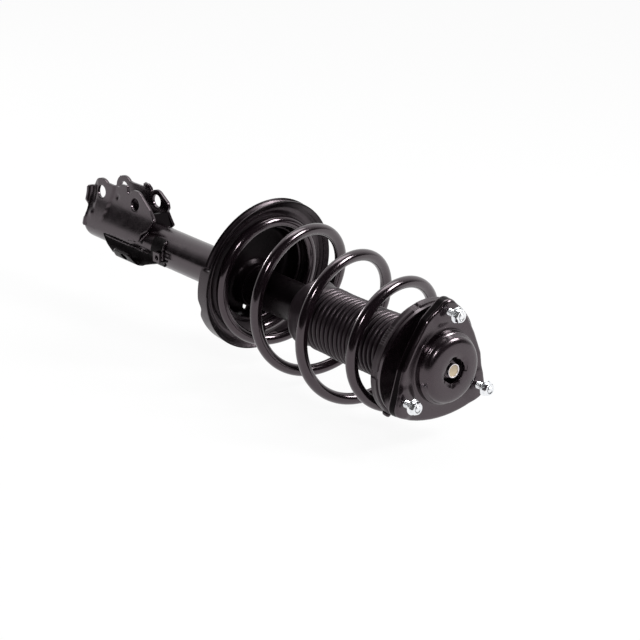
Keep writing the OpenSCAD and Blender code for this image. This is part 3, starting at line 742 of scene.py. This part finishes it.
def link_place(u, b):
    """The web stands out of the tube; past its edge the sheet turns up into the link's flange."""
    past = b - LINK_FOLD
    out, side = b, 0
    if past > 0:
        on, side = folded(past, LINK_FOLD_R)
        out = LINK_FOLD + on
    # the web leaves the tube higher up its side than its edge lies
    turned_by = LINK_TURN - ROOT_TURN * min(max((LINK_FOLD - b) / 11.5, 0), 1)
    c, s = math.cos(turned_by), math.sin(turned_by)
    return u, out * s - side * c, out * c + side * s


link_line = rounded([(-55, 22.3, 1), (-40, 29.5, 8), (-22, 35.5, 5), (-15, 38, 2), (-13, 51, 6),
                     (20, 51, 6), (25, 38, 2), (34, 34, 6), (52, 29.5, 8), (76, 22.3, 1)])


def tube_at(u, deg, lift):
    """A point on the tube at an angle from straight up towards the near side."""
    a = math.radians(deg)
    return u, (TUBE_R + lift) * math.sin(a), (TUBE_R + lift) * math.cos(a)


def saddle(name, u0, u1, from_deg, to_deg, thick):
    """Strap wrapped on the tube, with softened edges."""
    section = [(u0 + 0.2, 0.0), (u0, 0.5), (u0, thick - 0.7), (u0 + 0.7, thick),
               (u1 - 0.7, thick), (u1, thick - 0.7), (u1, 0.5), (u1 - 0.2, 0.0)]
    n, wide = 40, len(section)
    verts = []
    for i in range(n + 1):
        for u, lift in section:
            verts.append(row(*tube_at(u, from_deg + (to_deg - from_deg) * i / n, lift)))
    faces = grid_faces(n + 1, wide)
    faces += [tuple(range(wide))[::-1], tuple(n * wide + k for k in range(wide))]
    return mesh_from(name, verts, faces)


link_parts = [sheet("link_sheet", link_line, link_place, LINK_T, [LINK_HOLE]),
              saddle("strap", 42, 64, 47, 131, 2.2)]
# painted shade: the link bracket, which lies in shade under the tube, gets the darker, low-gloss
# coat
piece("link_plate", join("link_plate", link_parts), SHADE_COAT, "lower_strut",
      ["link_bracket"], 40)

# welds along the near plate's foot, round both plates' upper corners, along the link bracket's
# root and along its strap
BEAD_R = 1.7
seams = [[tube_at(u, 86 + 2 * math.sin(u * 0.7), 1.2) for u in range(-82, -2, 2)],
         [tube_at(19.5 + 0.55 * k, 82 - 2.2 * k, 1.0) for k in range(16)],
         [tube_at(8 + 0.9 * k, -80 + 2.2 * k, 1.0) for k in range(18)],
         [tube_at(u, 106, 0.9) for u in range(-50, 40, 2)],
         [tube_at(64, d, 1.0) for d in range(50, 126, 4)]]
beads = [bead(line, BEAD_R, i) for i, line in enumerate(seams)]
piece("weld_seams", join("weld_seams", beads), COAT, "lower_strut", angle=0)


# ---------- top mount ----------

FACE = 515.4                    # front face of the mount plate
LIP = 3.8                       # radius its edge is rolled to
OPENING_R = 37.9                # radius of its opening, under the cup
FLAT_R = 49.2                   # where it is flat, past its step round the cup
BULGE_R, BASE_OUT = 150, 59.5   # radius of the bulging side, and its distance from the axis
STUD_OUT = 61.4                 # radius of the circle through the studs
STUDS = arc((0, 0), STUD_OUT, 0, 240, 2)


def mount_line():
    """Outline of the plate as (q, p): three corners, two straight sides and a bulging third."""
    half = arc((STUD_OUT, 0), 13.5, 0, 52, 6) + [(54.9, 29), (30, 44.6), (5, 56.9)]
    half += arc((-36.2, 53.2), 12, 76, 150, 6)
    half += arc((BULGE_R - BASE_OUT, 0), BULGE_R, 164, 180, 4)
    return [Vector(v) for v in half + [(q, -p) for q, p in half[-2:0:-1]]]


def reach(loop, a):
    """Distance from the strut's axis out to the loop, in direction a."""
    d = Vector((math.cos(a), math.sin(a)))
    best = 0
    for i, b in enumerate(loop):
        c = loop[i - 1]
        e = b - c
        det = e.x * d.y - e.y * d.x
        if abs(det) < 1e-9:
            continue
        t = (c.y * d.x - c.x * d.y) / det
        if -1e-6 <= t <= 1 + 1e-6:
            best = max(best, (c + e * t).dot(d))
    return best


def pad_height(q, p):
    """Raised pads under the studs, with the plate pressed lower between them."""
    high = 0
    for sq, sp in STUDS:
        d = Vector((sq, sp)).normalized()
        along = q * d.x + p * d.y
        across = abs(-q * d.y + p * d.x)
        spread = 20 + 0.25 * (along - 48)
        high = max(high, smooth((along - 44) / 10) * smooth((spread - across) / 11))
        near = math.hypot(q - sq, p - sp)
        high += 0.2 * smooth((11 - near) / 2.5)
    return 1.7 * high


def plate_rings(edge):
    """Rings over the plate's face, round its lip and back under it, as radii by angle, the height
    off the face, and the share of the pads' height that the ring takes up."""
    even = [1] * len(edge)
    rings = [([r * e for e in even], h, 1)
             for r, h in ((OPENING_R, 0.9), (40.6, 0.9), (41.2, 0.85), (42, 0.6), (43, 0.3),
                          (44.4, 0.1), (46, 0), (FLAT_R, 0))]
    for t in (0.15, 0.3, 0.45, 0.6, 0.75, 0.88, 1.0):
        rings.append(([FLAT_R + (e - LIP - FLAT_R) * t for e in edge], 0, 1))
    for d in range(15, 91, 15):
        s, c = math.sin(math.radians(d)), math.cos(math.radians(d))
        rings.append(([e - LIP + LIP * s for e in edge], -LIP + LIP * c, 1))
    for past, h, share in ((0.1, -7.5, 0.5), (0.5, -9.4, 0), (0.55, -10.1, 0), (0.4, -10.8, 0),
                           (0.05, -11.3, 0), (-0.5, -11.6, 0), (-1.2, -11.7, 0),
                           (-2.3, -11.3, 0), (-2.8, -7.0, 0.5), (-4.6, -2.9, 1)):
        rings.append(([e + past for e in edge], h, share))
    for r, h in ((50.0, -2.8), (45.5, -1.8), (44.0, 0.2), (OPENING_R, 0.4)):
        rings.append(([r * e for e in even], h, 1))
    return rings


def plate_mesh():
    sides = 360
    line = mount_line()
    angles = [2 * math.pi * k / sides for k in range(sides)]
    edge = [reach(line, a) for a in angles]
    # corners of the outline are eased over a few degrees
    for _ in range(2):
        edge = [(edge[k - 1] + 2 * edge[k] + edge[(k + 1) % sides]) / 4 for k in range(sides)]
    rings = plate_rings(edge)
    verts = []
    for radii, h, share in rings:
        for a, e, r in zip(angles, edge, radii):
            flat = min(r, e - LIP)
            pad = pad_height(flat * math.cos(a), flat * math.sin(a)) * share if r > 46 else 0
            verts.append(row(FACE + h + pad, r * math.sin(a), r * math.cos(a)))
    return mesh_from("mount_shell", verts, grid_faces(len(rings), sides, closed_rows=True))


plate = piece("mount_shell", plate_mesh(), COAT, "top_mount", ["mount_plate"], 50)
# painted shade: the turned-down side of the lip gets the darker, low-gloss coat
LIP_SIDE = (FACE - 9.5, FACE - LIP)
plate.data.materials.append(SHADE_COAT)
for face in plate.data.polygons:
    face.material_index = int(LIP_SIDE[0] < face.center.x / MM < LIP_SIDE[1])


CUP_TOP = FACE + 18.3
MOUTH_R = 17                # the cup's mouth lies within this radius
# profile up the step on the plate, over the shoulder and the dome to the mouth, and back inside
CUP = [(FACE - 2.6, 40.6), (FACE + 5.5, 40.6), (FACE + 7.2, 40.3), (FACE + 8.2, 39.5),
       (FACE + 8.7, 38.6), (CUP_TOP - 8.6, 38.1), (CUP_TOP - 6.6, 37.6), (CUP_TOP - 4.9, 36.8),
       (CUP_TOP - 3.5, 35.7), (CUP_TOP - 2.4, 34.3), (CUP_TOP - 1.6, 32.6), (CUP_TOP - 1.0, 30.4),
       (CUP_TOP - 0.6, 27.6), (CUP_TOP - 0.3, 24.6), (CUP_TOP - 0.2, 22), (CUP_TOP - 0.2, 20),
       (CUP_TOP - 0.5, 18.2), (CUP_TOP - 0.9, 16.6), (CUP_TOP - 1.3, 15.2), (CUP_TOP - 1.6, 14.1),
       (CUP_TOP - 2.2, 13.7), (CUP_TOP - 4.6, 13.9), (CUP_TOP - 4.4, 16.5), (CUP_TOP - 3.4, 20.8),
       (CUP_TOP - 4.4, 29), (CUP_TOP - 9, 34.8), (FACE - 2.6, 35.2)]


def cup_shape(i, a):
    """The mouth of the cup is notched and a little uneven."""
    if CUP[i][1] > MOUTH_R:
        return 0, 0
    lobes = 1.3 * smooth(math.sin(4 * a + 0.6) * 2.5 + 0.5)
    return 0.4 * math.sin(2 * a), lobes + 0.5 * math.sin(3 * a + 1.1) + 0.35 * math.sin(7 * a)


piece("cup_shell", turned("cup_shell", CUP, 180, shape=cup_shape), COAT, "top_mount",
      ["mount_cup"], 40)


# ---------- studs and nuts ----------

def thread(low, high, r, pitch=1.25, depth=0.55):
    """Half profile of a threaded length, as rings."""
    crests = []
    turns = int((high - low) / pitch)
    for i in range(turns):
        u = low + pitch * i
        crests += [(u, r - depth), (u + 0.4 * pitch, r), (u + 0.6 * pitch, r)]
    return crests + [(low + pitch * turns, r - depth)]


def around(cq, cp):
    """Places rings about an axis that stands at (q, p) along the strut."""
    return lambda u, r, a: row(u, cp + r * math.sin(a), cq + r * math.cos(a))


def stud_profile():
    foot = [(FACE - 3.1, 0.01), (FACE - 3.1, 4.2), (FACE + 0.8, 4.2), (FACE + 1.2, 4.0)]
    tip = [(FACE + 20.4, 3.3), (FACE + 21.2, 2.5), (FACE + 21.2, 0.01)]
    return foot + thread(FACE + 1.5, FACE + 19.8, 4.0) + tip


def hex_shape(rings, across):
    """Pulls the rings that are named in to a hexagon of the given width across its flats."""
    def shape(i, a):
        if i not in rings:
            return 0, 0
        flat = across / 2 / math.cos((a + math.pi / 6) % (math.pi / 3) - math.pi / 6)
        return 0, min(0, flat - rings[i])
    return shape


NUT_LOW = FACE + 12.6       # where the nut's flange starts
NUT = [(NUT_LOW + h, r) for h, r in
       ((0, 3.6), (0, 8.0), (0.5, 8.7), (1.3, 8.7), (1.9, 8.1), (2.3, 7.6), (2.7, 7.5), (6.4, 7.5),
        (7.3, 7.1), (7.9, 6.3), (8.1, 5.6), (7.9, 4.4), (7.4, 3.6))]
NUT_HEX = {i: NUT[i][1] for i in range(5, 9)}       # its rings that are six-sided
KEY_SIZE = 12.6             # width across the nut's flats
stud_meshes, nut_meshes = [], []
for at in STUDS:
    stud_meshes.append(turned("stud", stud_profile(), 48, around(*at), closed=False))
    nut_meshes.append(turned("nut", NUT, 96, around(*at), shape=hex_shape(NUT_HEX, KEY_SIZE)))
piece("studs_threaded", join("studs_threaded", stud_meshes), ZINC, "top_mount",
      ["tower_studs"], 30)
piece("nuts_flanged", join("nuts_flanged", nut_meshes), ZINC, "top_mount",
      ["stud_nuts"], 30)

# threaded rod end in the cup's mouth, with a recess in its tip
TIP = CUP_TOP - 2.3
tip_line = thread(TIP - 14, TIP - 2.4, 7.0, depth=0.7)
tip_line += [(TIP - 1.7, 7.2), (TIP - 1.0, 7.8), (TIP - 0.1, 7.7), (TIP, 7.3), (TIP - 0.1, 6.8),
             (TIP - 0.7, 6.5)]
piece("rod_end", turned("rod_end", tip_line, 64, closed=False), END, "rod_assembly",
      angle=30)
floor_line = [(TIP - 0.7, 6.5), (TIP - 0.85, 4.6), (TIP - 0.9, 2.4), (TIP - 0.9, 0.01)]
piece("rod_end_recess", turned("rod_end_recess", floor_line, 48, closed=False), GOLD,
      "rod_assembly", angle=30)


# ---------- stage, light and camera ----------

FLOOR_Z, FLOOR_HALF = -0.1335, 9    # in metres
FLOOR_GLOW = 0.93                   # share of plain white that the camera sees in the floor


def stage_floor():
    """White floor: it makes the background, and it keeps a soft shadow."""
    mesh = bpy.data.meshes.new("floor")
    corners = ((-1, -1), (1, -1), (1, 1), (-1, 1))
    mesh.from_pydata([(FLOOR_HALF * x, FLOOR_HALF * y, FLOOR_Z) for x, y in corners],
                     [], [(0, 1, 2, 3)])
    floor = bpy.data.objects.new("floor", mesh)
    bpy.context.scene.collection.objects.link(floor)
    mat, tree, shader = nodes_of("floor_white")
    set_shader(shader, Base_Color=(0.9, 0.9, 0.9, 1), Roughness=0.9)
    glow = tree.nodes.new("ShaderNodeEmission")
    path = tree.nodes.new("ShaderNodeLightPath")
    seen = path.outputs["Is Camera Ray"]
    for ray in ("Is Glossy Ray", "Is Transmission Ray"):
        both = tree.nodes.new("ShaderNodeMath")
        both.operation = "MAXIMUM"
        tree.links.new(seen, both.inputs[0])
        tree.links.new(path.outputs[ray], both.inputs[1])
        seen = both.outputs[0]
    share = tree.nodes.new("ShaderNodeMath")
    share.operation = "MULTIPLY"
    share.inputs[1].default_value = FLOOR_GLOW
    tree.links.new(seen, share.inputs[0])
    mix = tree.nodes.new("ShaderNodeMixShader")
    tree.links.new(share.outputs[0], mix.inputs[0])
    tree.links.new(shader.outputs[0], mix.inputs[1])
    tree.links.new(glow.outputs[0], mix.inputs[2])
    tree.links.new(mix.outputs[0], tree.nodes["Material Output"].inputs["Surface"])
    mesh.materials.append(mat)


def studio_world():
    """Room light that falls off from bright behind the object to dim on the camera's side."""
    world = bpy.data.worlds.new("studio")
    bpy.context.scene.world = world
    world.use_nodes = True
    tree = world.node_tree
    back = tree.nodes["Background"]
    where = tree.nodes.new("ShaderNodeTexCoord")
    facing = tree.nodes.new("ShaderNodeVectorMath")
    facing.operation = "DOT_PRODUCT"
    facing.inputs[1].default_value = Vector((-0.74, 0.62, 0.25)).normalized()
    tree.links.new(where.outputs["Generated"], facing.inputs[0])
    shade = tree.nodes.new("ShaderNodeMapRange")
    shade.inputs["From Min"].default_value = 0.24
    shade.inputs["From Max"].default_value = 0.66
    shade.inputs["To Min"].default_value = 0.02
    shade.inputs["To Max"].default_value = 1.0
    tree.links.new(facing.outputs["Value"], shade.inputs["Value"])
    tree.links.new(shade.outputs["Result"], back.inputs["Strength"])
    back.inputs["Color"].default_value = (1, 1, 1, 1)


def area(name, at, target, size, power):
    """Rectangular lamp at a place in metres, turned to its target."""
    lamp = bpy.data.lights.new(name, "AREA")
    lamp.shape = "RECTANGLE"
    lamp.size, lamp.size_y = size
    lamp.energy = power
    obj = bpy.data.objects.new(name, lamp)
    obj.location = at
    obj.rotation_euler = (Vector(target) - Vector(at)).to_track_quat("-Z", "Y").to_euler()
    bpy.context.scene.collection.objects.link(obj)


stage_floor()
studio_world()
MIDDLE, MOUNT = (0.22, 0, -0.04), (0.5, 0, 0)
area("overhead", (-0.1, 0.6, 1.6), MIDDLE, (1.2, 0.7), 9)
area("key", (1.25, 0.95, 1.0), MIDDLE, (0.45, 0.5), 26)
area("front_box", (1.33, -0.9, 1.15), MOUNT, (0.25, 0.25), 9)
area("end_strip", (-1.5, -0.2, 0.6), MIDDLE, (0.3, 0.4), 9)

# the camera is fitted to points of the photograph: its place in metres, its axes and its lens
EYE = (2.2229, -1.7509, 0.8454)
RIGHT, FORWARD = (0.6586, 0.7497, 0.0651), (-0.6955, 0.6395, -0.3276)
LENS = 138.63
camera_data = bpy.data.cameras.new("camera")
camera_data.lens = LENS
camera_data.sensor_width = 36
camera_data.clip_end = 50
camera = bpy.data.objects.new("camera", camera_data)
right = Vector(RIGHT).normalized()
forward = Vector(FORWARD).normalized()
right = (right - forward * right.dot(forward)).normalized()
upward = right.cross(forward)
turn = Matrix((right, upward, -forward)).transposed()
camera.matrix_world = Matrix.Translation(EYE) @ turn.to_4x4()
bpy.context.scene.collection.objects.link(camera)
bpy.context.scene.camera = camera
bpy.context.scene.view_settings.view_transform = "Standard"
